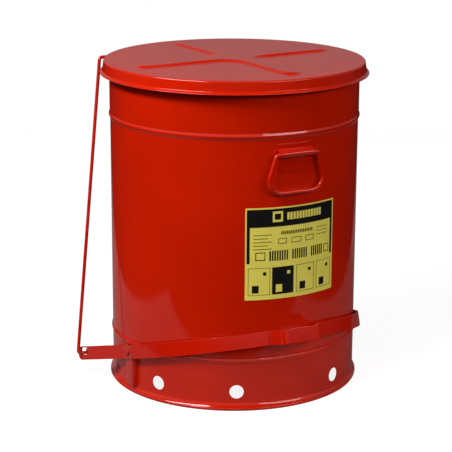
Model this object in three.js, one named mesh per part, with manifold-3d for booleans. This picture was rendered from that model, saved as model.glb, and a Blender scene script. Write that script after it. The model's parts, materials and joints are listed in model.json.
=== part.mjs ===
// Oily waste can: a round sheet-steel can on a vented foot ring, with two wire handles and a
// self-closing lid that a foot lever lifts through a rod.
// Millimetres, +Z up. The front, with the pedal, faces -Y and the lid's hinge is at +Y.
import * as THREE from 'three';
import { mergeVertices } from 'three/addons/utils/BufferGeometryUtils.js';
import Module from 'manifold-3d';

const wasm = await Module();
wasm.setup();

// ---- driving dimensions ----
const canHeight = 595; // floor to the lid's flat top; the rib stands above it
const bodyRadius = 227;
const sheet = 0.75;
const gap = 0.3;
const roundSegments = 64;
const axisPlace = { x: 17, y: 5 }; // the can's axis, from the middle of the overall outline

const ringTop = 98; // top of the foot ring, where the body stands
const hemRadius = 232.5;
const ventRadius = 12.7;
const ventHeight = 35;
const ventAngles = [26, 64, 116, 154]; // from the front, on each side

const beadHeight = 496;
const beadDepth = 2.5;
const upperRadius = bodyRadius + 1; // the wall is 1 mm larger above the bead
const rimHeight = 583;

const lidRadius = 238;
const lipRadius = 245.3;
const lipHeight = 571.5;
const ribHeight = 3.5;
const ribWidth = 31;
const ribReach = 198;
const ribFillet = 24;
const ribTurn = THREE.MathUtils.degToRad(4);

const hinge = { y: 254, z: 572, pinRadius: 3, knuckleRadius: 5.5, half: 38, leafHalf: 25.5 };
const rodTop = { x: -190, y: 178, z: 584 }; // where the rod pivots in the lid's skirt
const rodFoot = { x: -276.8, y: 100, z: 39 }; // where the rod hooks into the lever
const rodRadius = 3.175;
const rodBend = 5;

const pivot = { y: -34, z: 78, halfSpan: 233.5, radius: 4 };
const leverTilt = THREE.MathUtils.degToRad(16.5);
const leverWidth = 25.4;
const leverSheet = 3;
const bandRadius = 237;
const bandEnd = THREE.MathUtils.degToRad(75.5);
const flatHalf = 16; // half the straight stretch of each arm at its pivot
const pedal = { half: 40, y: -265.5 };
const leftArmEnd = { x: 269.5, y: 112 };
const rightArmEnd = { x: 241.8, y: 12 };
const rodSlot = { forward: 13.4, back: 0.6, up: 6.6, down: 0.6 }; // play of the rod's hook

const handleHeight = 465;
const clip = { half: 34, low: 433, high: 482, sheet: 1.2, barrel: 6 };
const wireRadius = 4;
const bail = { topHalf: 40, lowHalf: 62, drop: 68, topBend: 7, lowBend: 24 };
const bailY = -(bodyRadius + gap + clip.sheet + 4.6);

const label = { halfAngle: THREE.MathUtils.degToRad(22.7), low: 205, high: 371, sheet: 0.3 };

// ---- materials ----
const paint = (name) => new THREE.MeshStandardMaterial({ name, color: '#bd1f08', roughness: 0.28 });
const steel = (name) =>
  new THREE.MeshStandardMaterial({ name, color: '#b9bbbd', roughness: 0.35, metalness: 1 });
const vinyl = new THREE.MeshStandardMaterial({ name: 'label', color: '#f0e046', roughness: 0.5 });

// ---- solids ----
const vec = (x, y) => new THREE.Vector2(x, y);

// A three.js geometry as a closed solid with its faces pointing out.
function solid(geometry) {
  geometry.deleteAttribute('normal');
  geometry.deleteAttribute('uv');
  const merged = mergeVertices(geometry, 1e-3);
  const place = merged.attributes.position;
  const corners = [];
  let volume = 0;
  const [a, b, c] = [new THREE.Vector3(), new THREE.Vector3(), new THREE.Vector3()];
  for (let i = 0; i < merged.index.count; i += 3) {
    const [p, q, r] = [0, 1, 2].map((k) => merged.index.getX(i + k));
    if (p === q || q === r || r === p) continue;
    corners.push([p, q, r]);
    a.fromBufferAttribute(place, p);
    b.fromBufferAttribute(place, q);
    c.fromBufferAttribute(place, r);
    volume += a.dot(b.cross(c));
  }
  const order = corners.map(([p, q, r]) => (volume < 0 ? [p, r, q] : [p, q, r]));
  const mesh = new wasm.Mesh({
    numProp: 3,
    vertProperties: new Float32Array(place.array),
    triVerts: new Uint32Array(order.flat()),
  });
  return new wasm.Manifold(mesh);
}

function geometryOf(shape) {
  const mesh = shape.getMesh();
  const geometry = new THREE.BufferGeometry();
  geometry.setAttribute('position', new THREE.Float32BufferAttribute(mesh.vertProperties, 3));
  geometry.setIndex(new THREE.Uint32BufferAttribute(mesh.triVerts, 1));
  return geometry;
}

const join = (...solids) => solids.reduce((sum, next) => sum.add(next));
const cut = (base, ...tools) => tools.reduce((rest, tool) => rest.subtract(tool), base);

// A solid turned about +Z from a closed outline of [radius, height] points.
function turned(outline, segments = roundSegments) {
  const points = [...outline, outline[0]].map(([r, z]) => vec(r, z));
  return solid(new THREE.LatheGeometry(points, segments).rotateX(Math.PI / 2));
}

const cylinder = (radius, low, high, segments = roundSegments) =>
  turned([[0, low], [radius, low], [radius, high], [0, high]], segments);

// An open line of [u, v] points moved sideways, to its left when distance is positive.
function offsetLine(points, distance) {
  const p = points.map(([u, v]) => vec(u, v));
  const normals = p.slice(1).map((q, i) => {
    const d = q.clone().sub(p[i]).normalize();
    return vec(-d.y, d.x);
  });
  return p.map((q, i) => {
    const before = normals[Math.max(i - 1, 0)];
    const after = normals[Math.min(i, normals.length - 1)];
    const mitre = before.clone().add(after).normalize();
    const out = q.clone().addScaledVector(mitre, distance / mitre.dot(after));
    return [out.x, out.y];
  });
}

// Sheet metal of the given thickness along an outer line, to the line's left.
const sheetOutline = (line, thickness = sheet) => [...line, ...offsetLine(line, thickness).reverse()];

function shapeOf(points) {
  return new THREE.Shape(points.map(([u, v]) => vec(u, v)));
}

const extruded = (shape, depth, curveSegments = 8) =>
  new THREE.ExtrudeGeometry(shape, { depth, bevelEnabled: false, curveSegments });

// A side outline in (y, z), extruded along X from one place to another.
function acrossX(shape, from, to) {
  const turn = new THREE.Matrix4().makeBasis(
    new THREE.Vector3(0, 1, 0), new THREE.Vector3(0, 0, 1), new THREE.Vector3(1, 0, 0));
  return solid(extruded(shape, to - from).applyMatrix4(turn).translate(from, 0, 0));
}

function pinAlongX(radius, from, to, y, z, segments = 16) {
  const pin = new THREE.CylinderGeometry(radius, radius, to - from, segments).rotateZ(Math.PI / 2);
  return solid(pin.translate((from + to) / 2, y, z));
}

// A curved plate round the can's axis, centred on a direction given as an angle from the front.
function wallPlate(inner, outer, low, high, halfAngle, direction = 0) {
  const middle = direction - Math.PI / 2;
  const shape = new THREE.Shape();
  shape.absarc(0, 0, outer, middle - halfAngle, middle + halfAngle, false);
  shape.absarc(0, 0, inner, middle + halfAngle, middle - halfAngle, true);
  return solid(extruded(shape, high - low, 5).translate(0, 0, low));
}

// Corners joined by straight stretches and round bends.
function bentPoints(corners, radii, stepsPerBend) {
  const points = [corners[0]];
  for (let i = 1; i < corners.length - 1; i += 1) {
    const [from, at, to] = [corners[i - 1], corners[i], corners[i + 1]];
    const back = from.clone().sub(at).normalize();
    const on = to.clone().sub(at).normalize();
    const half = back.angleTo(on) / 2;
    const centre = at.clone().add(
      back.clone().add(on).normalize().multiplyScalar(radii[i - 1] / Math.sin(half)));
    const start = at.clone().addScaledVector(back, radii[i - 1] / Math.tan(half)).sub(centre);
    const axis = back.clone().cross(start).normalize();
    for (let k = 0; k <= stepsPerBend; k += 1) {
      const turn = (Math.PI - 2 * half) * (k / stepsPerBend);
      points.push(start.clone().applyAxisAngle(axis, turn).add(centre));
    }
  }
  points.push(corners[corners.length - 1]);
  return points;
}

// A wire's centre line: one extrusion step for each stretch between its points.
class Wire extends THREE.Curve {
  constructor(points) {
    super();
    this.points = points;
  }

  getPoint(t) {
    const along = t * (this.points.length - 1);
    const i = Math.min(Math.floor(along), this.points.length - 2);
    return this.points[i].clone().lerp(this.points[i + 1], along - i);
  }

  getTangent(t) {
    const last = this.points.length - 1;
    const i = Math.round(t * last);
    const stretch = (k) => this.points[k + 1].clone().sub(this.points[k]).normalize();
    return stretch(Math.max(i - 1, 0)).add(stretch(Math.min(i, last - 1))).normalize();
  }

  getUtoTmapping(u) {
    return u;
  }
}

function wire(points, radius, sides) {
  const section = new THREE.Shape().absarc(0, 0, radius, 0, 2 * Math.PI);
  const options = {
    steps: points.length - 1,
    extrudePath: new Wire(points),
    curveSegments: sides / 2,
    bevelEnabled: false,
  };
  return solid(new THREE.ExtrudeGeometry(section, options));
}

// A rivet that points along +X: shank through the sheets, domed head outside, upset end inside.
function rivet(shank, headRadius, headHeight, grip, tailRadius, tailHeight) {
  const profile = [
    [0, -tailHeight], [tailRadius, -tailHeight], [tailRadius, 0], [shank, 0], [shank, grip],
    [headRadius, grip], [headRadius, grip + headHeight * 0.3],
    [headRadius * 0.7, grip + headHeight * 0.85], [0, grip + headHeight],
  ];
  return turned(profile, 12).rotate([0, 90, 0]);
}

// ---- node list ----
const can = new THREE.Group();
can.position.set(axisPlace.x, axisPlace.y, 0);

function add(name, shape, material) {
  const mesh = new THREE.Mesh(geometryOf(shape), material);
  mesh.name = name;
  can.add(mesh);
  return mesh;
}

// ---- foot ring, with the seam ridge at its top and air holes round it ----
const ringOutline = [
  [226, 0], [231, 0], [hemRadius, 1.5], [hemRadius, 8], [229.8, 11.5], [bodyRadius, 14],
  [bodyRadius, 90], [228.5, 92], [229, 94.6], [228.3, 97], [226.4, ringTop], [216, ringTop],
  [216, ringTop - sheet], [bodyRadius - sheet, ringTop - sheet], [bodyRadius - sheet, 14.6],
  [224.9, 9], [224.9, 1.2],
];
const airHoles = ventAngles.flatMap((angle) => [angle, -angle]).map((angle) => {
  const hole = pinAlongX(ventRadius, 210, 240, 0, ventHeight, 20);
  return hole.rotate([0, 0, angle - 90]);
});
add('base_ring', cut(turned(ringOutline), ...airHoles), paint('ring'));

// ---- raised bottom, a shallow pan that stands on the ring's flange inside the body ----
const panLow = ringTop + gap;
const panRadius = bodyRadius - sheet - 0.4;
const panLine = [[0, panLow], [panRadius - 3, panLow], [panRadius, panLow + 3], [panRadius, panLow + 8]];
add('raised_bottom', turned(sheetOutline(panLine)), paint('bottom'));

// ---- body wall, with one bead and a rolled rim ----
const bead = [-6, -3.5, 0, 3.5, 6].map((dz) => {
  const share = (dz + 6) / 12;
  const wall = bodyRadius + (upperRadius - bodyRadius) * share;
  return [wall + beadDepth * Math.sin(Math.PI * share), beadHeight + dz];
});
const rim = [-36, 18, 72, 126, 180, 234].map((angle) => {
  const turn = THREE.MathUtils.degToRad(angle);
  return [upperRadius - 0.1 + 2.5 * Math.cos(turn), rimHeight - 2.5 + 2.5 * Math.sin(turn)];
});
const innerBead = [bead[4], bead[2], bead[0]].map(([r, z]) => [r - sheet, z]);
const bodyOutline = [
  [bodyRadius, ringTop + gap], ...bead, [upperRadius, rimHeight - 6], ...rim,
  [upperRadius - sheet, rimHeight - 6], ...innerBead, [bodyRadius - sheet, ringTop + gap],
];

// ---- lid: flat top with a raised cross, skirt and flared lip ----
const lidLine = [
  [0, canHeight], [lidRadius - 5, canHeight], [lidRadius - 1, canHeight - 1.2],
  [lidRadius + 0.4, canHeight - 4.5],
  [240.5, 577], [241.6, 574.5], [244.2, 573], [lipRadius, lipHeight],
];

function crossShape(width, reach, fillet) {
  const shape = new THREE.Shape();
  const half = width / 2;
  const [near, far] = [half + fillet, reach - half];
  for (let arm = 0; arm < 4; arm += 1) {
    const turn = (arm * Math.PI) / 2;
    const place = (u, v) => vec(u, v).rotateAround(vec(0, 0), turn);
    const tip = place(far, 0);
    const inner = place(near, near);
    shape.absarc(tip.x, tip.y, half, turn - Math.PI / 2, turn + Math.PI / 2, false);
    shape.absarc(inner.x, inner.y, fillet, turn - Math.PI / 2, turn - Math.PI, true);
  }
  return shape;
}

function crossSolid(width, fillet, low, high) {
  const shape = crossShape(width, ribReach - (ribWidth - width) / 2, fillet);
  return solid(extruded(shape, high - low, 4).rotateZ(ribTurn).translate(0, 0, low));
}
const lidShell = turned(sheetOutline(lidLine, -sheet));
const ribTop = canHeight + ribHeight;
const crossOut = crossSolid(ribWidth, ribFillet, canHeight - sheet / 2, ribTop);
const crossIn = crossSolid(ribWidth - 2 * sheet, ribFillet + sheet, canHeight - 5, ribTop - sheet);
const rodHole = pinAlongX(rodRadius + 0.35, rodTop.x, -145, rodTop.y, rodTop.z);

// ---- hinge rivets: two through the lid's skirt, two through the body wall ----
const hingeRivetAngle = Math.asin(31 / lidRadius);
const lidRivet = { inner: 236.9, outer: 243.1, z: 584, shank: 2.5 };
const wallRivet = { inner: upperRadius - sheet - gap, outer: upperRadius + gap + 2.3, z: 527, shank: 2.5 };

function placeRivet(shape, site, side) {
  const turn = 90 + side * THREE.MathUtils.radToDeg(hingeRivetAngle);
  return shape.translate([site.inner, 0, site.z]).rotate([0, 0, turn]);
}
const rivetHole = (site, side) =>
  placeRivet(pinAlongX(site.shank + gap, -8, 16, 0, 0), site, side);
const lidRivetHoles = [-1, 1].map((side) => rivetHole(lidRivet, side));
const wallRivetHoles = [-1, 1].map((side) => rivetHole(wallRivet, side));

add('body_shell', cut(turned(bodyOutline), ...wallRivetHoles), paint('body'));
add('lid_cover', cut(join(lidShell, crossOut), crossIn, rodHole, ...lidRivetHoles), paint('lid'));

[['right', -1], ['left', 1]].forEach(([name, side]) => {
  const onLid = rivet(lidRivet.shank, 5, 2, lidRivet.outer - lidRivet.inner, 4, 1.5);
  add(`lid_hinge_rivet_${name}`, placeRivet(onLid, lidRivet, side), paint('rivet'));
  const onWall = rivet(wallRivet.shank, 5, 2, wallRivet.outer - wallRivet.inner, 4, 1.5);
  add(`bracket_rivet_${name}`, placeRivet(onWall, wallRivet, side), paint('rivet'));
});

// ---- hinge at the back, under the lid's lip ----
const hingeCircle = new THREE.Shape().absarc(hinge.y, hinge.z, hinge.knuckleRadius, 0, 2 * Math.PI);
const pinHole = pinAlongX(hinge.pinRadius + gap, -60, 60, hinge.y, hinge.z);

const earArm = shapeOf([[224, 529], [257.9, 568.2], [250.1, 568.2], [224, 550]]);
const ears = [-1, 1].flatMap((side) => {
  const [from, to] = [hinge.leafHalf + 0.5, hinge.half].map((x) => side * x).sort((a, b) => a - b);
  return [acrossX(earArm, from, to), acrossX(hingeCircle, from, to)];
});
const bracketAngle = Math.asin(hinge.half / upperRadius);
const bracketPlate = wallPlate(
  upperRadius + gap, upperRadius + gap + 2, 515, 558, bracketAngle, Math.PI);
const upperWall = cylinder(upperRadius + gap, 500, rimHeight);
add(
  'hinge_bracket',
  cut(join(bracketPlate, ...ears), upperWall, pinHole, ...wallRivetHoles),
  paint('hinge'),
);

const leafArm = shapeOf([[239, 578], [249.5, 575], [257.6, 576], [243, 591], [239, 591]]);
const leafPlate = wallPlate(237, 242.8, 577.5, 590.5, bracketAngle, Math.PI);
const leafParts = [leafArm, hingeCircle].map((s) => acrossX(s, -hinge.leafHalf, hinge.leafHalf));
const lidEnvelope = turned([...offsetLine(lidLine, gap), [0, lipHeight]]);
add(
  'lid_hinge_leaf',
  cut(join(leafPlate, ...leafParts), lidEnvelope, pinHole, ...lidRivetHoles),
  paint('hinge'),
);
add('hinge_pin', pinAlongX(hinge.pinRadius, -41, 41, hinge.y, hinge.z), steel('pin'));

// ---- foot lever, drawn flat in its own tilted plane with the pivot line as its X axis ----
const alongLever = (y) => (y - pivot.y) / Math.cos(leverTilt);
const pedalAngle = Math.asin(pedal.half / bandRadius);

function bandPoint(angle) {
  return [bandRadius * Math.sin(angle), alongLever(-bandRadius * Math.cos(angle))];
}

function sideOfLever(side, armEnd) {
  const line = [[side * pedal.half, alongLever(pedal.y)]];
  const steps = 14;
  for (let i = 0; i <= steps; i += 1) {
    line.push(bandPoint(side * (pedalAngle + ((bandEnd - pedalAngle) * i) / steps)));
  }
  line.push([side * pivot.halfSpan, alongLever(pivot.y - flatHalf)]);
  line.push([side * pivot.halfSpan, alongLever(pivot.y + flatHalf)]);
  line.push([side * armEnd.x, alongLever(armEnd.y)]);
  return line;
}
const leverLine = [...sideOfLever(-1, leftArmEnd).reverse(), ...sideOfLever(1, rightArmEnd)];
const leverOutline = [
  ...offsetLine(leverLine, -leverSheet / 2), ...offsetLine(leverLine, leverSheet / 2).reverse(),
];
const strap = solid(extruded(shapeOf(leverOutline), leverWidth).translate(0, 0, -leverWidth / 2));

// The side view of one half of the lever, with round corners at the arm's end.
function armOutline(end) {
  const [corner, half, front] = [8, leverWidth / 2, -260];
  const shape = new THREE.Shape();
  shape.moveTo(front, -half);
  shape.lineTo(end - corner, -half);
  shape.absarc(end - corner, -half + corner, corner, -Math.PI / 2, 0, false);
  shape.absarc(end - corner, half - corner, corner, 0, Math.PI / 2, false);
  shape.lineTo(front, half);
  return shape;
}
const armLimits = join(
  acrossX(armOutline(alongLever(leftArmEnd.y)), -300, 0),
  acrossX(armOutline(alongLever(rightArmEnd.y)), 0, 300),
);

// The rod's hook at rest, in the lever's plane, and the slot that it moves in.
const [footY, footZ] = [rodFoot.y - pivot.y, rodFoot.z - pivot.z];
const hookAlong = footY * Math.cos(leverTilt) - footZ * Math.sin(leverTilt);
const hookUp = footY * Math.sin(leverTilt) + footZ * Math.cos(leverTilt);

function slotShape() {
  const corner = rodRadius;
  const [left, right] = [hookAlong - rodSlot.forward, hookAlong + rodSlot.back];
  const [low, high] = [hookUp - rodSlot.down, hookUp + rodSlot.up];
  const shape = new THREE.Shape();
  shape.absarc(right, low, corner, -Math.PI / 2, 0, false);
  shape.absarc(right, high, corner, 0, Math.PI / 2, false);
  shape.absarc(left, high, corner, Math.PI / 2, Math.PI, false);
  shape.absarc(left, low, corner, Math.PI, Math.PI * 1.5, false);
  return shape;
}
const lever = add(
  'foot_lever',
  cut(
    strap.intersect(armLimits),
    pinAlongX(pivot.radius + gap, -300, 300, 0, 0),
    acrossX(slotShape(), -300, -200),
  ),
  paint('lever'),
);
lever.position.set(0, pivot.y, pivot.z);
lever.rotation.x = -leverTilt;

// ---- lever pivots: a stand-off bracket on the foot ring and a rivet on each side ----
const stand = { outer: 231.4, sheet: 2, halfWidth: 14.5, low: 15, high: 89.5 };

function standBracket(side) {
  const [out, t, w] = [stand.outer, stand.sheet, stand.halfWidth];
  const channel = shapeOf([
    [215, -w], [out, -w], [out, w], [215, w], [215, w - t], [out - t, w - t], [out - t, t - w],
    [215, t - w],
  ].map(([x, y]) => [side * x, y + pivot.y]));
  const body = solid(extruded(channel, stand.high - stand.low).translate(0, 0, stand.low));
  const wallSpace = cylinder(bodyRadius + gap, 0, canHeight);
  const hole = pinAlongX(pivot.radius + gap, -300, 300, pivot.y, pivot.z);
  return cut(body, wallSpace, hole);
}

[['left', -1], ['right', 1]].forEach(([name, side]) => {
  add(`pivot_bracket_${name}`, standBracket(side), paint('bracket'));
  const start = stand.outer - stand.sheet - gap;
  const grip = pivot.halfSpan + leverSheet / 2 + gap - start;
  const pin = rivet(pivot.radius, 7.5, 4, grip, 5.5, 1.4).translate([start, 0, 0]);
  add(`pivot_rivet_${name}`, pin.rotate([0, 0, side > 0 ? 0 : 180]).translate([0, pivot.y, pivot.z]),
    paint('rivet'));
});

// ---- lift rod, hooked inwards at both ends, and the cap on its lower hook ----
const point = ({ x, y, z }) => new THREE.Vector3(x, y, z);
const rodInner = { top: -153.5, foot: -253 };
const rodLine = bentPoints([
  point({ ...rodTop, x: rodInner.top }), point(rodTop), point(rodFoot),
  point({ ...rodFoot, x: rodInner.foot }),
], [rodBend, rodBend], 5);
add('lift_rod', wire(rodLine, rodRadius, 10), paint('rod'));

const nut = { from: -258, to: -255.6, radius: 7.5 };
const nutDisc = pinAlongX(nut.radius, nut.from, nut.to, rodFoot.y, rodFoot.z);
const nutHole = pinAlongX(rodRadius + gap, -270, -240, rodFoot.y, rodFoot.z);
add('rod_push_nut', cut(nutDisc, nutHole), steel('nut'));

// ---- handles: a clip plate with a rolled barrel, and a wire bail hanging in it ----
const barrelRound = new THREE.Shape().absarc(bailY, handleHeight, clip.barrel, 0, 2 * Math.PI);
const clipAngle = Math.asin(clip.half / bodyRadius);

function clipPlate() {
  const plate = wallPlate(
    bodyRadius + gap, bodyRadius + gap + clip.sheet, clip.low, clip.high, clipAngle);
  const barrel = acrossX(barrelRound, -clip.half, clip.half);
  const wall = cylinder(bodyRadius + gap, clip.low - 20, clip.high + 20);
  const bore = pinAlongX(wireRadius + gap, -50, 50, bailY, handleHeight);
  return cut(join(plate, barrel), wall, bore);
}

function bailWire() {
  const at = (x, drop) => new THREE.Vector3(x, bailY, handleHeight - drop);
  const corners = [
    at(-0.5, 0), at(-bail.topHalf, 0), at(-bail.lowHalf, bail.drop), at(bail.lowHalf, bail.drop),
    at(bail.topHalf, 0), at(0.5, 0),
  ];
  return wire(bentPoints(corners, [bail.topBend, bail.lowBend, bail.lowBend, bail.topBend], 5),
    wireRadius, 10);
}

[['front', 0], ['rear', 180]].forEach(([name, turn]) => {
  add(`handle_mount_${name}`, clipPlate().rotate([0, 0, turn]), paint('clip'));
  add(`bail_${name}`, bailWire().rotate([0, 0, turn]), paint('bail'));
});

// ---- front label ----
add(
  'label',
  wallPlate(bodyRadius + gap, bodyRadius + gap + label.sheet, label.low, label.high, label.halfAngle),
  vinyl,
);

const group = new THREE.Group();
group.name = 'oily_waste_can';
group.add(can);
export default group;
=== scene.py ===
"""Looks of the oily waste can: fine meshes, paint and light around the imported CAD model."""
import json
import math

import bmesh
import bpy
import numpy as np
from mathutils import Matrix, Vector


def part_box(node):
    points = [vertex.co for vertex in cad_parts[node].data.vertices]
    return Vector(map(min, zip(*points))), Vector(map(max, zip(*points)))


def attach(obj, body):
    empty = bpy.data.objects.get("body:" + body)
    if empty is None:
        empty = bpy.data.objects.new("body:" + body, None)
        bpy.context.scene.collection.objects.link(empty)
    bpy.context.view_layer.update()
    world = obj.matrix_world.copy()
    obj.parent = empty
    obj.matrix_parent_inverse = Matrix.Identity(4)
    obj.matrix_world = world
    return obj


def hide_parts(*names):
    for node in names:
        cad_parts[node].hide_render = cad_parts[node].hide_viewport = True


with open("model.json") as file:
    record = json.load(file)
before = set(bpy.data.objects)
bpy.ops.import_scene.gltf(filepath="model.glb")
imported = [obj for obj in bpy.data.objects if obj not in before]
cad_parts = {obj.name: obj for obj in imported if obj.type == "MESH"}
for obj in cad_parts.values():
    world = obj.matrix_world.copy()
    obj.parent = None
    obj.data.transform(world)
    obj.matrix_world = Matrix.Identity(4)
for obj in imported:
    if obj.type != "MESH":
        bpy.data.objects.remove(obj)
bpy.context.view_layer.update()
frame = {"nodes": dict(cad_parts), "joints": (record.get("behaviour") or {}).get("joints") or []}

MM = 0.001
SHARP = 35  # degrees between faces, above which an edge stays sharp

# ---- places read from the frame ----


def middle(node):
    low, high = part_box(node)
    return (low + high) / 2


AXIS = middle("body_shell")
AXIS.z = 0.0
JOINT = {joint["name"]: Vector(joint["pos_m"]) for joint in frame["joints"]}

# ---- driving dimensions, in millimetres from the can's axis and the floor ----
BODY_R = 227.0
UPPER_R = 228.0
SHEET = 0.75
RING_TOP = 98.0
HEM_R = 232.5
VENT_R = 12.7
VENT_Z = 35.0
VENT_ANGLES = (26, 64, 116, 154)
BEAD_Z = 496.0
BEAD_HALF = 6.5
BEAD_DEPTH = 2.1
RIM_Z = 583.0
LID_Z = 595.0
LID_R = 238.0
LIP_R = 245.3
LIP_Z = 571.5
RIB_HEIGHT = 3.5
RIB_HALF = 15.5
RIB_REACH = 198.0
RIB_FLANK = 11.0
RIB_BLEND = 46.0
RIB_TURN = math.radians(4)

STRAP = 3.0
STRAP_WIDTH = 25.4
LEVER_TILT = math.radians(16.5)
BAND_R = 237.0
BAND_END = math.radians(75.5)
PEDAL_HALF = 40.0
PEDAL_Y = -265.5
PIVOT_HALF_SPAN = 233.5
PIVOT_FLAT = 16.0
PEDAL_BEND = 11.0
BAND_BEND = 14.0
ARM_BEND = 24.0
LEFT_ARM_END = (269.5, 112.0)
RIGHT_ARM_END = (241.8, 12.0)
ROD_R = 3.175
ROD_BEND = 6.0
ROD_FOOT = Vector((-276.8, 100.0, 39.0))
ROD_INNER_TOP = -153.5
ROD_INNER_FOOT = -253.0
CAP_X = -258.0
SLOT_PLAY = (0.6, 13.4, 6.6, 0.6)  # the hook's room in the lever: back, forward, up, down

HANDLE_Z = 465.0
CLIP_HALF = 34.0
CLIP_LOW = 433.0
CLIP_HIGH = 482.0
CLIP_SHEET = 1.2
WIRE_R = 4.0
BAIL_TOP_HALF = 40.0
BAIL_LOW_HALF = 62.0
BAIL_DROP = 68.0
BAIL_TOP_BEND = 7.0
BAIL_LOW_BEND = 24.0

LABEL_HALF_ANGLE = math.radians(22.7)
LABEL_LOW = 205.0
LABEL_HIGH = 371.0

# ---- the camera: metres from the foot of the can's axis, seen from the front left ----
CAMERA_FROM_AXIS = Vector((-1.39474, -2.64535, 1.09))
CAMERA_PITCH = 0.26494
CAMERA_YAW = -0.0047
CAMERA_ROLL = 0.0045
CAMERA_AZIMUTH = math.radians(27.8)
LENS_PER_FRAME = 3.668142  # focal length over the frame's width

# ---- the studio: how far the floor reaches in metres, and how bright the room is ----
FLOOR_FRONT = 0.5
FLOOR_SIDE = 0.73
FLOOR_BACK = 2.2
FRONT_GLOW = 0.9
BACK_GLOW = 0.235
FLOOR_GLOW = 0.89


# ---- outlines ----
def fillet(points, radii, steps):
    """An open line of 2-D or 3-D points with each inner corner rounded by its own radius."""
    points = [Vector(p) for p in points]
    out = [points[0]]
    for before, at, after, radius in zip(points, points[1:], points[2:], radii):
        back = (before - at).normalized()
        on = (after - at).normalized()
        half = back.angle(on) / 2
        if radius <= 0 or half > math.radians(89.5):
            out.append(at)
            continue
        centre = at + (back + on).normalized() * (radius / math.sin(half))
        start = at + back * (radius / math.tan(half)) - centre
        end = at + on * (radius / math.tan(half)) - centre
        for k in range(steps + 1):
            out.append(centre + start.slerp(end, k / steps) * radius)
    out.append(points[-1])
    return out


def offset(line, distance):
    """A 2-D line moved to its left by the distance, with mitred corners."""
    normals = []
    for a, b in zip(line, line[1:]):
        d = (b - a).normalized()
        normals.append(Vector((-d.y, d.x)))
    out = []
    for i, p in enumerate(line):
        before = normals[max(i - 1, 0)]
        after = normals[min(i, len(normals) - 1)]
        mitre = (before + after).normalized()
        out.append(p + mitre * (distance / mitre.dot(after)))
    return out


def arc(centre, radius, start, end, steps):
    """Points on a circle from one angle to another, in degrees."""
    out = []
    for k in range(steps + 1):
        turn = math.radians(start + (end - start) * k / steps)
        out.append(Vector((centre[0] + radius * math.cos(turn), centre[1] + radius * math.sin(turn))))
    return out


def sheet_loop(line, thickness):
    """A closed outline: sheet metal centred on a line, with round ends."""
    half = thickness / 2
    line = [p for i, p in enumerate(line) if i == 0 or (p - line[i - 1]).length > 0.02]
    left = offset(line, half)
    right = offset(line, -half)

    def cap(end, inner):
        along = (end - inner).normalized()
        side = Vector((-along.y, along.x))
        return [end + (side * math.cos(t) + along * math.sin(t)) * half
                for t in (math.pi * 0.25, math.pi * 0.5, math.pi * 0.75)]

    return left + cap(line[-1], line[-2]) + right[::-1] + cap(line[0], line[1])


# ---- meshes ----
def mark_edges(mesh):
    """Stores how convex the surface is at each point, for wear on the edges."""
    least_spread, edge_span = 0.2 * MM, 1.5 * MM
    bm = bmesh.new()
    bm.from_mesh(mesh)
    wear = np.zeros(len(bm.verts))
    for edge in bm.edges:
        if len(edge.link_faces) != 2:
            continue
        a, b = edge.link_faces
        spread = (a.calc_center_median() - b.calc_center_median()).length
        bend = edge.calc_face_angle_signed(0.0) / max(spread, least_spread) * edge_span
        for vert in edge.verts:
            wear[vert.index] = max(wear[vert.index], bend)
    bm.free()
    layer = mesh.attributes.new("edge_wear", "FLOAT", "POINT")
    layer.data.foreach_set("value", np.clip(wear, 0, 1).astype(np.float32))


def finish_mesh(piece, sharp=SHARP):
    """Faces point out, smooth shading with sharp corners, and the wear attribute."""
    mesh = piece.data
    bm = bmesh.new()
    bm.from_mesh(mesh)
    bmesh.ops.remove_doubles(bm, verts=bm.verts, dist=0.002 * MM)
    bmesh.ops.recalc_face_normals(bm, faces=bm.faces)
    bm.to_mesh(mesh)
    bm.free()
    mesh.shade_smooth()
    mesh.set_sharp_from_angle(angle=math.radians(sharp))
    mark_edges(mesh)


def new_piece(name, points, faces):
    """A mesh object from points in millimetres, measured from the can's axis."""
    mesh = bpy.data.meshes.new(name)
    places = np.asarray(points, float) * MM + np.array(AXIS)
    mesh.from_pydata(places.tolist(), [], faces)
    piece = bpy.data.objects.new(name, mesh)
    bpy.context.scene.collection.objects.link(piece)
    return piece


def rings_mesh(rings, closed_sweep=False):
    """Points and faces of a skin over equal rings of points, capped unless the sweep is closed."""
    count, size = len(rings), len(rings[0])
    points = [p for ring in rings for p in ring]
    faces = []
    for i in range(count if closed_sweep else count - 1):
        j = (i + 1) % count
        for k in range(size):
            m = (k + 1) % size
            faces.append((i * size + k, j * size + k, j * size + m, i * size + m))
    if not closed_sweep:
        faces.append(tuple(range(size)))
        faces.append(tuple((count - 1) * size + k for k in reversed(range(size))))
    return points, faces


def lathe(name, loop, segments):
    """A closed outline of (radius, height) turned round the can's axis."""
    rings = []
    for i in range(segments):
        turn = 2 * math.pi * i / segments
        rings.append([(r * math.sin(turn), -r * math.cos(turn), z) for r, z in loop])
    points, faces = rings_mesh(rings, closed_sweep=True)
    piece = new_piece(name, points, faces)
    finish_mesh(piece)
    return piece


def along_x(loop_at, stations):
    """A closed outline in (y, z), given for each place along X."""
    return rings_mesh([[(x, y, z) for y, z in loop_at(x)] for x in stations])


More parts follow.
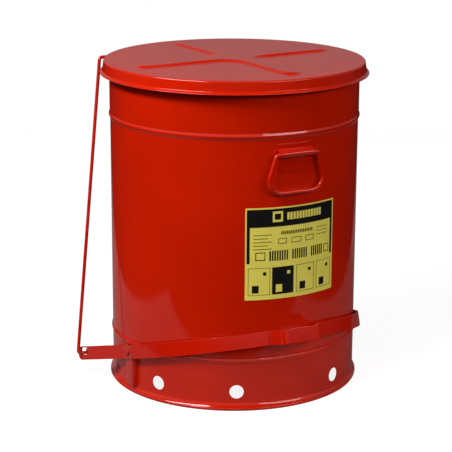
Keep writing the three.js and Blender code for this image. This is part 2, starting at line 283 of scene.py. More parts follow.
def tube(name, line, radius, sides=24, chamfer=0.6):
    """A round wire along a line, with a small chamfer at each end."""
    frames = []
    tangent = (line[1] - line[0]).normalized()
    side = tangent.orthogonal().normalized()
    for i, point in enumerate(line):
        before = point - line[i - 1] if i else tangent
        after = line[i + 1] - point if i < len(line) - 1 else before
        heading = (before.normalized() + after.normalized()).normalized()
        side = (side - heading * side.dot(heading)).normalized()
        frames.append((point, heading, side, heading.cross(side)))

    def ring(frame_at, scale, shift=0.0):
        point, heading, u, v = frame_at
        turns = [2 * math.pi * k / sides for k in range(sides)]
        return [tuple(point + heading * shift + (u * math.cos(t) + v * math.sin(t)) * radius * scale)
                for t in turns]

    rings = [ring(frames[0], 1 - chamfer / radius)]
    rings.append(ring(frames[0], 1.0, chamfer))
    rings += [ring(f, 1.0) for f in frames[1:-1]]
    rings.append(ring(frames[-1], 1.0, -chamfer))
    rings.append(ring(frames[-1], 1 - chamfer / radius))
    points, faces = rings_mesh(rings)
    piece = new_piece(name, points, faces)
    finish_mesh(piece)
    return piece


def cut_away(piece, cutters):
    """Booleans the cutters out of a piece and removes them."""
    for cutter in cutters:
        step = piece.modifiers.new("cut", "BOOLEAN")
        step.operation = "DIFFERENCE"
        step.solver = "EXACT"
        step.object = cutter
    bpy.context.view_layer.update()
    graph = bpy.context.evaluated_depsgraph_get()
    mesh = bpy.data.meshes.new_from_object(piece.evaluated_get(graph))
    piece.modifiers.clear()
    old = piece.data
    piece.data = mesh
    mesh.name = old.name
    bpy.data.meshes.remove(old)
    for cutter in cutters:
        bpy.data.objects.remove(cutter)


def radial_cylinder(radius, inner, outer, angle, z, sides=48):
    """A cutter that points outwards from the axis, at an angle in degrees from the front."""
    turn = math.radians(angle)
    out = Vector((math.sin(turn), -math.cos(turn), 0))
    side = Vector((math.cos(turn), math.sin(turn), 0))
    rings = []
    for reach in (inner, outer):
        rings.append([
            tuple(out * reach + side * radius * math.cos(t) + Vector((0, 0, z + radius * math.sin(t))))
            for t in [2 * math.pi * k / sides for k in range(sides)]
        ])
    cutter = new_piece("cutter", *rings_mesh(rings))
    finish_mesh(cutter)
    return cutter


# ---- paint and other materials ----
def shader(name):
    material = bpy.data.materials.new(name)
    material.use_nodes = True
    tree = material.node_tree
    return material, tree, tree.nodes["Principled BSDF"]


def node(tree, kind, **values):
    made = tree.nodes.new(kind)
    for key, value in values.items():
        if hasattr(made, key):
            setattr(made, key, value)
        else:
            made.inputs[key].default_value = value
    return made


def noise(tree, scale, detail=3.0, roughness=0.5):
    """Noise in the object's own space; scale is in features per metre."""
    place = node(tree, "ShaderNodeTexCoord")
    made = node(tree, "ShaderNodeTexNoise", Scale=scale, Detail=detail, Roughness=roughness)
    tree.links.new(place.outputs["Object"], made.inputs["Vector"])
    return made.outputs["Fac"]


def ramp(tree, value, low, high, at_low, at_high):
    """A value stretched from one range to another and clamped."""
    made = node(tree, "ShaderNodeMapRange")
    made.inputs["From Min"].default_value = low
    made.inputs["From Max"].default_value = high
    made.inputs["To Min"].default_value = at_low
    made.inputs["To Max"].default_value = at_high
    tree.links.new(value, made.inputs["Value"])
    return made.outputs["Result"]


def mix_colour(tree, share, first, second):
    made = node(tree, "ShaderNodeMix", data_type="RGBA")
    for socket, value in ((made.inputs[0], share), (made.inputs[6], first), (made.inputs[7], second)):
        if isinstance(value, (tuple, list)):
            socket.default_value = (*value, 1.0)
        elif isinstance(value, float):
            socket.default_value = value
        else:
            tree.links.new(value, socket)
    return made.outputs[2]


def product(tree, first, second):
    made = node(tree, "ShaderNodeMath", operation="MULTIPLY")
    for socket, value in zip(made.inputs, (first, second)):
        if isinstance(value, float):
            socket.default_value = value
        else:
            tree.links.new(value, socket)
    return made.outputs[0]


def worn_edges(tree, amount):
    """Wear: the convex edges, broken up by noise so that only patches show."""
    edge = node(tree, "ShaderNodeAttribute", attribute_name="edge_wear").outputs["Fac"]
    patches = ramp(tree, noise(tree, 38.0, 4.0, 0.65), 0.56, 0.72, 0.0, 1.0)
    return product(tree, product(tree, ramp(tree, edge, 0.25, 0.8, 0.0, 1.0), patches), amount)


def powder_coat(name, colour, roughness=0.07, wear=0.5, peel=0.05):
    """Glossy powder coat: slight orange peel, uneven tone, faint handling marks, thin edges."""
    material, tree, surface = shader(name)
    light = tuple(min(1.0, c * 1.08 + 0.0005) for c in colour)
    dark = tuple(c * 0.92 for c in colour)
    tone = ramp(tree, noise(tree, 5.0, 3.0), 0.3, 0.7, 0.0, 1.0)
    paint = mix_colour(tree, tone, dark, light)
    scuffs = ramp(tree, noise(tree, 120.0, 6.0, 0.75), 0.66, 0.8, 0.0, 0.25)
    paint = mix_colour(tree, scuffs, paint, tuple(0.75 * c + 0.02 for c in colour))
    thin = tuple(0.5 * c + 0.12 for c in colour)
    paint = mix_colour(tree, worn_edges(tree, wear), paint, thin)
    tree.links.new(paint, surface.inputs["Base Color"])
    smear = ramp(tree, noise(tree, 9.0, 5.0, 0.6), 0.35, 0.75, roughness, roughness + 0.05)
    tree.links.new(smear, surface.inputs["Roughness"])
    surface.inputs["IOR"].default_value = 1.47
    bump = node(tree, "ShaderNodeBump", Strength=peel, Distance=0.0006)
    tree.links.new(noise(tree, 260.0, 2.0), bump.inputs["Height"])
    tree.links.new(bump.outputs["Normal"], surface.inputs["Normal"])
    return material


def zinc(name):
    """Bright zinc plate with fine drawing lines and dull patches."""
    material, tree, surface = shader(name)
    surface.inputs["Metallic"].default_value = 1.0
    tone = ramp(tree, noise(tree, 90.0, 4.0), 0.3, 0.7, 0.0, 1.0)
    tree.links.new(mix_colour(tree, tone, (0.42, 0.43, 0.44), (0.62, 0.63, 0.65)),
                   surface.inputs["Base Color"])
    tree.links.new(ramp(tree, noise(tree, 300.0, 4.0), 0.3, 0.7, 0.22, 0.42),
                   surface.inputs["Roughness"])
    bump = node(tree, "ShaderNodeBump", Strength=0.15, Distance=0.0002)
    tree.links.new(noise(tree, 900.0, 2.0), bump.inputs["Height"])
    tree.links.new(bump.outputs["Normal"], surface.inputs["Normal"])
    return material


def printed_vinyl(name, colour, roughness):
    """Label print: slightly uneven ink on satin vinyl."""
    material, tree, surface = shader(name)
    tone = ramp(tree, noise(tree, 60.0, 4.0), 0.3, 0.7, 0.0, 1.0)
    dim = tuple(0.93 * c for c in colour)
    tree.links.new(mix_colour(tree, tone, dim, colour), surface.inputs["Base Color"])
    tree.links.new(ramp(tree, noise(tree, 25.0, 3.0), 0.3, 0.7, roughness, roughness + 0.1),
                   surface.inputs["Roughness"])
    bump = node(tree, "ShaderNodeBump", Strength=0.04, Distance=0.0002)
    tree.links.new(noise(tree, 700.0, 2.0), bump.inputs["Height"])
    tree.links.new(bump.outputs["Normal"], surface.inputs["Normal"])
    return material


RED = (0.62, 0.013, 0.0005)
PART_RED = (0.6, 0.0095, 0.0005)
PAINT = {
    "body_paint": powder_coat("body_paint", RED, wear=0.35),
    "lid_paint": powder_coat("lid_paint", RED, roughness=0.1, wear=0.4),
    "base_paint": powder_coat("base_paint", RED, wear=0.6),
    "lever_paint": powder_coat("lever_paint", PART_RED, roughness=0.1, wear=0.9),
    "handle_paint": powder_coat("handle_paint", PART_RED, roughness=0.1, wear=0.7),
    "hardware_paint": powder_coat("hardware_paint", (0.56, 0.0095, 0.0005), roughness=0.24, wear=0.9),
    "zinc_steel": zinc("zinc_steel"),
}
LABEL_YELLOW = printed_vinyl("label_yellow", (0.97, 0.83, 0.13), 0.3)
LABEL_BLACK = printed_vinyl("label_black", (0.006, 0.006, 0.006), 0.3)


def place(piece, body, slot, *nodes):
    """Paints a piece, makes it ride on its body and stand for its CAD nodes."""
    if not piece.data.materials:
        piece.data.materials.append(PAINT[slot])
    if not piece.data.has_custom_normals:
        evened = piece.modifiers.new("flat_faces", "WEIGHTED_NORMAL")
        evened.keep_sharp = True
    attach(piece, body)
    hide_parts(*nodes)


# ---- foot ring ----
def build_ring():
    hem = 3.6
    wall = BODY_R - SHEET / 2
    lip = BODY_R - 10.5
    line = arc((HEM_R - hem, hem), hem - SHEET / 2, 200, 422, 22)
    rise = fillet([line[-1], (wall + 0.4, 13.5), (wall, 18), (wall, 40)], [7, 6], 4)[1:]
    seam = fillet([
        (wall, 84), (wall, 86), (wall + 2.1, 90.5), (wall + 2.1, 92.8), (wall + 0.6, 96.6),
        (wall - 0.7, 97.6), (lip, 97.6),
    ], [3.0, 2.0, 4.0, 1.6, 1.0], 4)
    piece = lathe("foot_ring", sheet_loop(line + rise + seam, SHEET), 288)
    holes = [radial_cylinder(VENT_R, 205, 245, side * angle, VENT_Z)
             for angle in VENT_ANGLES for side in (-1, 1)]
    cut_away(piece, holes)
    finish_round_wall(piece)
    place(piece, "root", "base_paint", "base_ring")


def finish_round_wall(piece):
    """Smooth normals after a cut: points on the upright wall face straight out or in."""
    mesh = piece.data
    mesh.shade_smooth()
    mesh.set_sharp_from_angle(angle=math.radians(SHARP))
    mark_edges(mesh)
    normals = [Vector(n.vector) for n in mesh.corner_normals]
    for face in mesh.polygons:
        centre = face.center - AXIS
        if abs(face.normal.z) > 0.05:
            continue
        outward = Vector((centre.x, centre.y, 0)).normalized()
        facing = outward.dot(face.normal)
        if abs(facing) < 0.9:
            continue
        for corner in face.loop_indices:
            point = mesh.vertices[mesh.loops[corner].vertex_index].co - AXIS
            flat = Vector((point.x, point.y, 0)).normalized()
            normals[corner] = flat if facing > 0 else -flat
    mesh.normals_split_custom_set(normals)


# ---- body wall, raised bottom ----
def build_body():
    low_wall = BODY_R - SHEET / 2
    high_wall = UPPER_R - SHEET / 2
    bead = []
    for k in range(17):
        share = k / 16
        swell = math.sin(math.pi * share) ** 1.5
        bead.append(Vector((low_wall + (high_wall - low_wall) * share + BEAD_DEPTH * swell,
                            BEAD_Z + (2 * share - 1) * BEAD_HALF)))
    roll = 2.4
    rim = arc((high_wall + roll, RIM_Z - roll), roll, 180, -60, 12)
    line = [Vector((low_wall - 0.6, RING_TOP + 0.5)), Vector((low_wall, RING_TOP + 2)), *bead,
            Vector((high_wall, RIM_Z - 8)), *rim]
    piece = lathe("body_wall", sheet_loop(line, SHEET), 288)
    place(piece, "root", "body_paint", "body_shell")


def build_bottom():
    low = RING_TOP + 0.3 + SHEET / 2
    radius = BODY_R - SHEET - 0.8
    line = fillet([(0.01, low), (radius, low), (radius, low + 7.5)], [4.0], 6)
    dish = [Vector((r, line[0].y + 0.8 * (1 - r / radius))) for r in (0.01, 60, 120, 180)]
    piece = lathe("raised_floor", sheet_loop(dish + line[1:], SHEET), 144)
    place(piece, "root", "base_paint", "raised_bottom")


# ---- lid ----
def rib_rise(x, y):
    """Height of the pressed cross above the lid's flat top."""
    u = x * math.cos(RIB_TURN) + y * math.sin(RIB_TURN)
    v = y * math.cos(RIB_TURN) - x * math.sin(RIB_TURN)
    reach = RIB_REACH - RIB_HALF

    def bar(along, across):
        return math.hypot(max(abs(along) - reach, 0.0), across) - RIB_HALF

    first, second = bar(u, v), bar(v, u)
    blend = max(RIB_BLEND - abs(first - second), 0.0) / RIB_BLEND
    inside = -(min(first, second) - blend * blend * RIB_BLEND / 4)
    share = min(max(inside / RIB_FLANK + 0.5, 0.0), 1.0)
    return RIB_HEIGHT * share * share * (3 - 2 * share)


def build_lid():
    centre_line = fillet([
        (LID_R - 9, LID_Z - SHEET / 2), (LID_R - SHEET / 2, LID_Z - SHEET / 2),
        (240.6 - SHEET / 2, 576.3), (LIP_R - 1.1, LIP_Z + 1.3),
    ], [2.6, 2.2], 6)
    half = SHEET / 2
    outer = offset(centre_line, half)
    inner = offset(centre_line, -half)
    bead = arc((LIP_R - 1.1, LIP_Z + 1.1), 1.1, 100, -140, 8)
    segments = 320
    radii = [2.5 * k for k in range(1, 92)]
    skirt = [(p.x, p.y) for p in outer[:-1] + bead] + [(p.x, p.y) for p in reversed(inner[:-1])]
    points = [(0.0, 0.0, LID_Z + rib_rise(0, 0))]
    rings = []

    def add_ring(radius, height, lifted):
        first = len(points)
        for i in range(segments):
            turn = 2 * math.pi * i / segments
            x, y = radius * math.sin(turn), -radius * math.cos(turn)
            points.append((x, y, height + (rib_rise(x, y) if lifted else 0.0)))
        rings.append(first)

    for radius in radii:
        add_ring(radius, LID_Z, radius < RIB_REACH + 8)
    for radius, height in skirt:
        add_ring(radius, height, False)
    for radius in reversed(radii):
        add_ring(radius, LID_Z - SHEET, radius < RIB_REACH + 8)
    bottom = len(points)
    points.append((0.0, 0.0, LID_Z - SHEET + rib_rise(0, 0)))
    faces = []
    for i in range(segments):
        j = (i + 1) % segments
        faces.append((0, rings[0] + i, rings[0] + j))
        faces.append((bottom, rings[-1] + j, rings[-1] + i))
        for a, b in zip(rings, rings[1:]):
            faces.append((a + i, b + i, b + j, a + j))
    piece = new_piece("lid_pan", points, faces)
    finish_mesh(piece, 50)
    place(piece, "lid", "lid_paint", "lid_cover")


# ---- foot lever ----
def along_lever(y):
    return (y - lever_pivot.y) / math.cos(LEVER_TILT)


def lever_line():
    """The strap's centre line in its own tilted plane, from the left arm's end to the right's."""

    def half_line(side, arm_end):
        start = math.asin(PEDAL_HALF / BAND_R)
        line = [Vector((side * PEDAL_HALF, along_lever(PEDAL_Y)))]
        radii = [PEDAL_BEND]
        steps = 44
        for k in range(steps + 1):
            angle = start + (BAND_END - start) * k / steps
            line.append(Vector((side * BAND_R * math.sin(angle),
                                along_lever(-BAND_R * math.cos(angle)))))
            radii.append(PEDAL_BEND if k == 0 else 0.0)
        line.append(Vector((side * PIVOT_HALF_SPAN, along_lever(lever_pivot.y - PIVOT_FLAT))))
        line.append(Vector((side * PIVOT_HALF_SPAN, along_lever(lever_pivot.y + PIVOT_FLAT))))
        radii += [BAND_BEND, ARM_BEND]
        line.append(Vector((side * arm_end[0], along_lever(arm_end[1]))))
        return line, radii

    left, left_radii = half_line(-1, LEFT_ARM_END)
    right, right_radii = half_line(1, RIGHT_ARM_END)
    corners = left[::-1] + right
    radii = left_radii[::-1] + right_radii
    return fillet(corners, radii, 7)


def fill_gaps(line, longest):
    """Adds points so that no stretch of a 2-D line is longer than asked."""
    out = [line[0]]
    for a, b in zip(line, line[1:]):
        pieces = max(1, math.ceil((b - a).length / longest))
        out += [a.lerp(b, k / pieces) for k in range(1, pieces + 1)]
    return out


def build_lever():
    half = STRAP_WIDTH / 2
    thick = STRAP / 2
    corner = 8.0
    edge = 0.7
    longest = 9.0
    line = fill_gaps(lever_line(), longest)
    lengths = [0.0]
    for a, b in zip(line, line[1:]):
        lengths.append(lengths[-1] + (b - a).length)
    total = lengths[-1]
    ends = [corner * (1 - math.cos(math.pi / 2 * k / 6)) for k in range(1, 7)]
    wanted = sorted(set([0.02, *ends, *lengths[1:-1], *[total - e for e in ends], total - 0.02]))

    def at(distance):
        i = max(k for k in range(len(lengths) - 1) if lengths[k] <= distance)
        share = (distance - lengths[i]) / (lengths[i + 1] - lengths[i])
        here = line[i].lerp(line[i + 1], share)
        before = line[i] - line[i - 1] if i and share < 1e-6 else line[i + 1] - line[i]
        heading = ((line[i + 1] - line[i]).normalized() + before.normalized()).normalized()
        return here, Vector((-heading.y, heading.x))

    rings = []
    for distance in wanted:
        here, side = at(distance)
        from_end = min(distance, total - distance, corner)
        reach = half - corner + math.sqrt(max(corner ** 2 - (corner - from_end) ** 2, 0.0))
        section = [
            (thick, reach - edge), (thick - edge * 0.3, reach - edge * 0.3), (thick - edge, reach),
            (edge - thick, reach), (edge * 0.3 - thick, reach - edge * 0.3), (-thick, reach - edge),
        ]
        section += [(-u, -v) for u, v in section]
        rings.append([tuple(lever_place(here + side * u, v)) for u, v in section])
    piece = new_piece("pedal_lever", *rings_mesh(rings))
    slot = new_piece("slot_cutter", *along_x(lambda x: slot_loop(), [-300.0, -200.0]))
    finish_mesh(slot)
    finish_mesh(piece)
    cut_away(piece, [slot])
    piece.data.shade_smooth()
    piece.data.set_sharp_from_angle(angle=math.radians(SHARP))
    mark_edges(piece.data)
    place(piece, "lever", "lever_paint", "foot_lever")


def lever_place(flat, height):
    """A point of the lever's tilted plane in the can's own millimetres."""
    along = Vector((0, math.cos(LEVER_TILT), -math.sin(LEVER_TILT)))
    up = Vector((0, math.sin(LEVER_TILT), math.cos(LEVER_TILT)))
    return Vector((flat.x, lever_pivot.y, lever_pivot.z)) + along * flat.y + up * height


def slot_loop():
    """The slot that the rod's hook moves in, seen from the side."""
    back, forward, up, down = SLOT_PLAY
    offset_y, offset_z = ROD_FOOT.y - lever_pivot.y, ROD_FOOT.z - lever_pivot.z
    along = offset_y * math.cos(LEVER_TILT) - offset_z * math.sin(LEVER_TILT)
    rise = offset_y * math.sin(LEVER_TILT) + offset_z * math.cos(LEVER_TILT)
    corners = [(along + back, rise - down, -90), (along + back, rise + up, 0),
               (along - forward, rise + up, 90), (along - forward, rise - down, 180)]
    loop = []
    for u, v, start in corners:
        for p in arc((u, v), ROD_R, start, start + 90, 5):
            spot = lever_place(Vector((0, p.x)), p.y)
            loop.append((spot.y, spot.z))
    return loop


# ---- rod and its cap ----
def build_rod():
    corners = [Vector((ROD_INNER_TOP, rod_top.y, rod_top.z)), rod_top, ROD_FOOT,
               Vector((ROD_INNER_FOOT, ROD_FOOT.y, ROD_FOOT.z))]
    piece = tube("pull_rod", fillet(corners, [ROD_BEND, ROD_BEND], 10), ROD_R)
    place(piece, "rod", "lever_paint", "lift_rod")


def dome(name, base, direction, profile, sides=40):
    """A small round part: a profile of (radius, distance) about a line from a base point."""
    side = direction.orthogonal().normalized()
    other = direction.cross(side)
    turns = [2 * math.pi * k / sides for k in range(sides)]
    rings = [[tuple(base + direction * d + (side * math.cos(t) + other * math.sin(t)) * max(r, 0.02))
              for t in turns] for r, d in profile]
    piece = new_piece(name, *rings_mesh(rings))
    finish_mesh(piece, 40)
    return piece


def round_head(radius, height, start):
    """The profile of a domed head that begins at a distance along its line."""
    steps = 8
    curve = [(radius * math.cos(math.pi / 2 * k / steps), start + height * (0.2 + 0.8 * math.sin(
        math.pi / 2 * k / steps))) for k in range(steps + 1)]
    return [(radius - 0.3, start), (radius, start + 0.25), *curve]


def build_cap():
    base = Vector((CAP_X, ROD_FOOT.y, ROD_FOOT.z))
    profile = [(ROD_R + 0.2, 0.0), (7.2, 0.0), (7.5, 0.3), (7.5, 0.9), (7.0, 1.3), (4.6, 1.6),
               (4.0, 2.3), (ROD_R + 0.2, 2.3)]
    cap = dome("rod_cap", base, Vector((1, 0, 0)), profile)
    place(cap, "rod", "zinc_steel", "rod_push_nut")


# ---- small parts that keep their CAD shape, with softened corners ----
def softened(name, node_name, body, slot, width=0.35):
    source = frame["nodes"][node_name]
    piece = source.copy()
    piece.data = source.data.copy()
    piece.name = name
    for key in list(piece.keys()):
        del piece[key]
    piece.parent = None
    bpy.context.scene.collection.objects.link(piece)
    piece.data.materials.clear()
    bm = bmesh.new()
    bm.from_mesh(piece.data)
    bmesh.ops.remove_doubles(bm, verts=bm.verts, dist=0.01 * MM)
    bmesh.ops.dissolve_limit(bm, angle_limit=math.radians(1), verts=bm.verts, edges=bm.edges)
    sharp = [e for e in bm.edges if len(e.link_faces) == 2 and e.calc_face_angle(0) > math.radians(38)]
    bmesh.ops.bevel(bm, geom=sharp, offset=width * MM, segments=2, profile=0.6, affect="EDGES",
                    clamp_overlap=True)
    bm.to_mesh(piece.data)
    bm.free()
    finish_mesh(piece, 50)
    place(piece, body, slot, node_name)


# ---- handles ----
def clip_profile():
    """The clip's closed outline as (distance out from the wall, height, how far it follows it)."""
    flat = 0.3 + CLIP_SHEET / 2
    reach = WIRE_R + 0.4 + CLIP_SHEET / 2
    line = fillet([
        (flat, CLIP_HIGH), (flat, HANDLE_Z + 7.2), (bail_out - 1.6, HANDLE_Z + reach),
    ], [2.2], 5)
    line += arc((bail_out, HANDLE_Z), reach, 98, -98, 22)
    line += fillet([
        (bail_out - 1.6, HANDLE_Z - reach), (flat, HANDLE_Z - 7.2), (flat, CLIP_LOW),
    ], [2.2], 5)
    loop = sheet_loop(line, CLIP_SHEET)
    follow = [1.0 - min(max((p.x - flat - 0.8) / 3.0, 0.0), 1.0) for p in loop]
    return [(p.x, p.y, f) for p, f in zip(loop, follow)]


def build_handle(name, facing, body):
    profile = clip_profile()
    stations = [CLIP_HALF * math.cos(math.pi * k / 24) for k in range(25)]

    def loop_at(x):
        out = []
        for reach, z, follow in profile:
            curved = math.sqrt((BODY_R + reach) ** 2 - x * x)
            out.append((facing * (follow * curved + (1 - follow) * (BODY_R + reach)), z))
        return out

    clip = new_piece(f"clip_{name}", *along_x(loop_at, stations))
    finish_mesh(clip, 40)
    place(clip, "root", "handle_paint", f"handle_mount_{name}")
    y = facing * (BODY_R + bail_out)

    def at(x, drop):
        return Vector((x, y, HANDLE_Z - drop))

    corners = [at(-0.5, 0), at(-BAIL_TOP_HALF, 0), at(-BAIL_LOW_HALF, BAIL_DROP),
               at(BAIL_LOW_HALF, BAIL_DROP), at(BAIL_TOP_HALF, 0), at(0.5, 0)]
    line = fillet(corners, [BAIL_TOP_BEND, BAIL_LOW_BEND, BAIL_LOW_BEND, BAIL_TOP_BEND], 12)
    piece = tube(f"wire_handle_{name}", line, WIRE_R)
    place(piece, body, "handle_paint", body)


# ---- label: a generic layout of bands, bars and frames ----
def strokes(left, right, low, high, stroke, gap, dark):
    """A row of upright strokes that stands for a line of print."""
    count = int((right - left + gap) / (stroke + gap))
    return [(left + k * (stroke + gap), left + k * (stroke + gap) + stroke, low, high, dark)
            for k in range(count)]


def label_blocks():
    """Rectangles in the label's own millimetres, as (left, right, low, high, is_black)."""
    width, height = 2 * BODY_R * LABEL_HALF_ANGLE, LABEL_HIGH - LABEL_LOW
    rim = 2.6
    blocks = [(rim, width - rim, height * 0.79, height - rim, True)]
    blocks += strokes(width * 0.42, width * 0.84, height * 0.855, height * 0.935, 4.6, 1.5, False)
    blocks.append((width * 0.27, width * 0.375, height * 0.84, height * 0.955, False))
    blocks.append((width * 0.29, width * 0.355, height * 0.865, height * 0.93, True))
    for left, right in ((rim, width * 0.045), (width * 0.955, width - rim)):
        blocks.append((left, right, height * 0.4, height * 0.79, True))
    blocks += strokes(width * 0.36, width * 0.72, height * 0.7, height * 0.735, 2.4, 1.2, True)
    for k in range(5):
        low = height * (0.7 - 0.038 * k)
        blocks += strokes(width * 0.08, width * (0.27 - 0.03 * (k % 2)), low, low + 1.6, 2.6, 0.7, True)
        if k < 3:
            blocks += strokes(width * 0.77, width * 0.91, low + 3, low + 4.4, 2.4, 0.8, True)
    for left, right in ((0.33, 0.42), (0.47, 0.58), (0.63, 0.73)):
        blocks.append((width * left, width * right, height * 0.6, height * 0.66, True))
        blocks.append((width * left + 1.2, width * right - 1.2, height * 0.6 + 1.2,
                       height * 0.66 - 1.2, False))
    for left, right in ((0.24, 0.44), (0.48, 0.66), (0.7, 0.85)):
        blocks += strokes(width * left, width * right, height * 0.42, height * 0.53, 3.0, 1.6, True)
    for left, right in ((0.1, 0.2), (0.87, 0.94)):
        blocks.append((width * left, width * right, height * 0.43, height * 0.52, True))
        blocks.append((width * left + 1.6, width * right - 1.6, height * 0.43 + 1.6,
                       height * 0.52 - 1.6, False))
    frames = [(0.03, 0.25), (0.27, 0.5), (0.53, 0.74), (0.77, 0.97)]
    for k, (left, right) in enumerate(frames):
        left, right, low, high = width * left, width * right, height * 0.05, height * 0.35
        dark = k == 1
        blocks.append((left, right, low, high, True))
        if not dark:
            blocks.append((left + 0.9, right - 0.9, low + 0.9, high - 0.9, False))
        blocks.append((left + 7, left + 19, low + 4, low + 18, not dark))
        blocks.append((right - 13, right - 7, high - 14, high - 8, not dark))
    return width, height, blocks


def build_label():
    width, height, blocks = label_blocks()
    columns = sorted({0.0, width, *[b[0] for b in blocks], *[b[1] for b in blocks],
                      *[width * k / 48 for k in range(49)]})
    rows = sorted({0.0, height, *[b[2] for b in blocks], *[b[3] for b in blocks]})
    back_radius = BODY_R + 0.12
    front_radius = AXIS.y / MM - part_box("label")[0].y / MM
    points = []
    for radius in (back_radius, front_radius):
        for z in rows:
            for u in columns:
                turn = (u - width / 2) / BODY_R
                points.append((radius * math.sin(turn), -radius * math.cos(turn), LABEL_LOW + z))
    size = len(columns)
    layer = size * len(rows)
    faces, black = [], []
    for j in range(len(rows) - 1):
        for i in range(size - 1):
            a = j * size + i
            u = (columns[i] + columns[i + 1]) / 2
            v = (rows[j] + rows[j + 1]) / 2
            ink = False
            for left, right, low, high, dark in blocks:
                if left < u < right and low < v < high:
                    ink = dark
            faces.append((layer + a, layer + a + 1, layer + a + 1 + size, layer + a + size))
            black.append(ink)
            faces.append((a, a + size, a + 1 + size, a + 1))
            black.append(False)
    border = list(range(size))
    border += [j * size + size - 1 for j in range(1, len(rows))]
    border += [(len(rows) - 1) * size + i for i in range(size - 2, -1, -1)]
    border += [j * size for j in range(len(rows) - 2, 0, -1)]
    for a, b in zip(border, border[1:] + border[:1]):
        faces.append((a, b, layer + b, layer + a))
        black.append(False)
    piece = new_piece("front_label", points, faces)
    piece.data.materials.append(LABEL_YELLOW)
    piece.data.materials.append(LABEL_BLACK)
    for face, ink in zip(piece.data.polygons, black):
        face.material_index = 1 if ink else 0
    finish_mesh(piece)
    place(piece, "root", "label_vinyl", "label")


# ---- build everything ----
def from_axis(point):
    """A place in the frame as millimetres from the can's axis."""
    return (point - AXIS) / MM


lever_pivot = from_axis(JOINT["lever_pivot"])
rod_top = from_axis(JOINT["rod_pivot"])
bail_out = -from_axis(JOINT["front_handle_swing"]).y - BODY_R

build_ring()
build_body()
build_bottom()
build_lid()
build_lever()
build_rod()
build_cap()
build_handle("front", -1, "bail_front")
build_handle("rear", 1, "bail_rear")
build_label()

for side_name, side in (("left", -1), ("right", 1)):
    softened(f"stand_off_{side_name}", f"pivot_bracket_{side_name}", "root", "lever_paint")
    face = Vector((side * (PIVOT_HALF_SPAN + STRAP / 2 + 0.3), lever_pivot.y, lever_pivot.z))
    inward = [(5.5, -8.1), (5.5, -6.8), (4.0, -6.7), (4.0, 0.0)]
    head = dome(f"pivot_head_{side_name}", face, Vector((side, 0, 0)), inward + round_head(7.5, 3.8, 0.0))
    place(head, "root", "hardware_paint", f"pivot_rivet_{side_name}")
softened("hinge_lower_half", "hinge_bracket", "root", "hardware_paint")
softened("hinge_upper_half", "lid_hinge_leaf", "lid", "hardware_paint")
softened("hinge_rod", "hinge_pin", "root", "zinc_steel", 0.8)
for side_name in ("left", "right"):
    softened(f"leaf_rivet_{side_name}", f"lid_hinge_rivet_{side_name}", "lid", "hardware_paint", 0.3)
    softened(f"wall_rivet_{side_name}", f"bracket_rivet_{side_name}", "root", "hardware_paint", 0.3)


# ---- studio ----
def facing_axes():
    """The camera's right, up and forward directions."""
    forward = Vector((
        math.sin(CAMERA_YAW) * math.cos(CAMERA_PITCH),
        math.cos(CAMERA_YAW) * math.cos(CAMERA_PITCH),
        -math.sin(CAMERA_PITCH),
    ))
    right = forward.cross(Vector((0, 0, 1))).normalized()
    up = right.cross(forward)
    right, up = (right * math.cos(CAMERA_ROLL) + up * math.sin(CAMERA_ROLL),
                 up * math.cos(CAMERA_ROLL) - right * math.sin(CAMERA_ROLL))
    turn = Matrix.Rotation(-CAMERA_AZIMUTH, 3, "Z")
    return turn @ right, turn @ up, turn @ forward


def build_camera():
    right, up, forward = facing_axes()
    data = bpy.data.cameras.new("camera")
    data.sensor_width = 36.0
    data.lens = LENS_PER_FRAME * data.sensor_width
    data.clip_end = 50.0
    camera = bpy.data.objects.new("camera", data)
    turn = Matrix((right, up, -forward)).transposed()
    camera.matrix_world = Matrix.Translation(AXIS + CAMERA_FROM_AXIS) @ turn.to_4x4()
    bpy.context.scene.collection.objects.link(camera)
    bpy.context.scene.camera = camera


def studio_place(across, towards, height):
    """A place given across the view, towards the camera and up, in metres from the can."""
    right = Vector((math.cos(-CAMERA_AZIMUTH), math.sin(-CAMERA_AZIMUTH), 0))
    near = Vector((math.sin(-CAMERA_AZIMUTH), -math.cos(-CAMERA_AZIMUTH), 0))
    return AXIS + right * across + near * towards + Vector((0, 0, height))


def soft_light(name, place_at, aim, width, height, power):
    data = bpy.data.lights.new(name, "AREA")
    data.shape = "RECTANGLE"
    data.size, data.size_y = width, height
    data.energy = power
    lamp = bpy.data.objects.new(name, data)
    lamp.location = place_at
    lamp.rotation_euler = (aim - place_at).to_track_quat("-Z", "Y").to_euler()
    bpy.context.scene.collection.objects.link(lamp)


def for_camera(tree, seen, otherwise):
    """One value where the camera looks straight at it, another for the light it gives."""
    path = node(tree, "ShaderNodeLightPath").outputs["Is Camera Ray"]
    made = node(tree, "ShaderNodeMix", data_type="FLOAT")
    tree.links.new(path, made.inputs[0])
    for socket, value in ((made.inputs[2], otherwise), (made.inputs[3], seen)):
        if isinstance(value, float):
            socket.default_value = value
        else:
            tree.links.new(value, socket)
    return made.outputs[0]


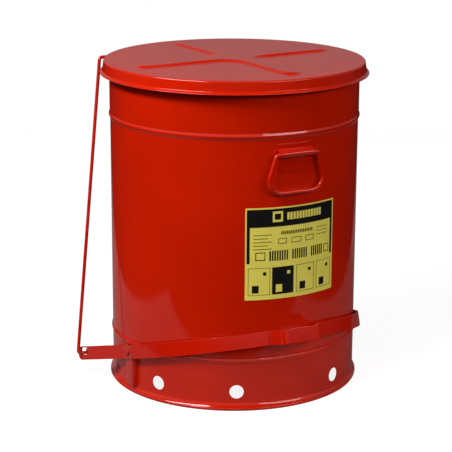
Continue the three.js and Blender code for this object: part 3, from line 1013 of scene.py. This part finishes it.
def build_floor():
    """A pale sheet under the can; past its edges the studio is dark below the horizon."""
    corners = [studio_place(-FLOOR_SIDE, FLOOR_FRONT, 0), studio_place(FLOOR_SIDE, FLOOR_FRONT, 0),
               studio_place(FLOOR_SIDE, -FLOOR_BACK, 0), studio_place(-FLOOR_SIDE, -FLOOR_BACK, 0)]
    mesh = bpy.data.meshes.new("floor")
    mesh.from_pydata([tuple(c) for c in corners], [], [(0, 1, 2, 3)])
    floor = bpy.data.objects.new("floor", mesh)
    floor.location.z = -0.0003
    bpy.context.scene.collection.objects.link(floor)
    material, tree, surface = shader("floor")
    tone = ramp(tree, noise(tree, 3.0, 3.0), 0.3, 0.7, 0.0, 1.0)
    tree.links.new(mix_colour(tree, tone, (0.31, 0.31, 0.31), (0.33, 0.33, 0.33)),
                   surface.inputs["Base Color"])
    surface.inputs["Roughness"].default_value = 0.9
    surface.inputs["Specular IOR Level"].default_value = 0.1
    surface.inputs["Emission Color"].default_value = (1, 1, 1, 1)
    tree.links.new(for_camera(tree, FLOOR_GLOW, 0.0), surface.inputs["Emission Strength"])
    mesh.materials.append(material)


def build_world():
    """White to the eye; as light, dim in front, bright behind and dark under the horizon."""
    world = bpy.data.worlds.new("studio")
    bpy.context.scene.world = world
    world.use_nodes = True
    tree = world.node_tree
    background = tree.nodes["Background"]
    background.inputs["Color"].default_value = (1, 1, 1, 1)
    direction = node(tree, "ShaderNodeTexCoord").outputs["Generated"]
    behind = node(tree, "ShaderNodeVectorMath", operation="DOT_PRODUCT")
    tree.links.new(direction, behind.inputs[0])
    behind.inputs[1].default_value = tuple(studio_place(0, -1, 0) - AXIS)
    height = node(tree, "ShaderNodeSeparateXYZ")
    tree.links.new(direction, height.inputs[0])
    front = product(tree, ramp(tree, behind.outputs["Value"], -0.1, 0.5, FRONT_GLOW, 0.0),
                    ramp(tree, height.outputs["Z"], 0.1, 0.4, 0.0, 1.0))
    back = product(tree, ramp(tree, behind.outputs["Value"], -0.2, 0.75, 0.0, BACK_GLOW),
                   ramp(tree, height.outputs["Z"], -0.06, 0.06, 0.05, 1.0))
    both = node(tree, "ShaderNodeMath", operation="ADD")
    tree.links.new(front, both.inputs[0])
    tree.links.new(back, both.inputs[1])
    glow = product(tree, both.outputs[0], ramp(tree, height.outputs["Z"], 0.35, 0.75, 1.0, 0.0))
    tree.links.new(for_camera(tree, 1.0, glow), background.inputs["Strength"])


def build_studio():
    target = AXIS + Vector((0, 0, 0.35))
    soft_light("key", studio_place(-1.3, 1.05, 2.0), target, 1.6, 0.45, 50)
    soft_light("rim", studio_place(1.8, 1.7, 1.45), target, 1.9, 0.5, 18)
    build_world()
    build_floor()
    bpy.context.scene.view_settings.view_transform = "Standard"


build_camera()
build_studio()
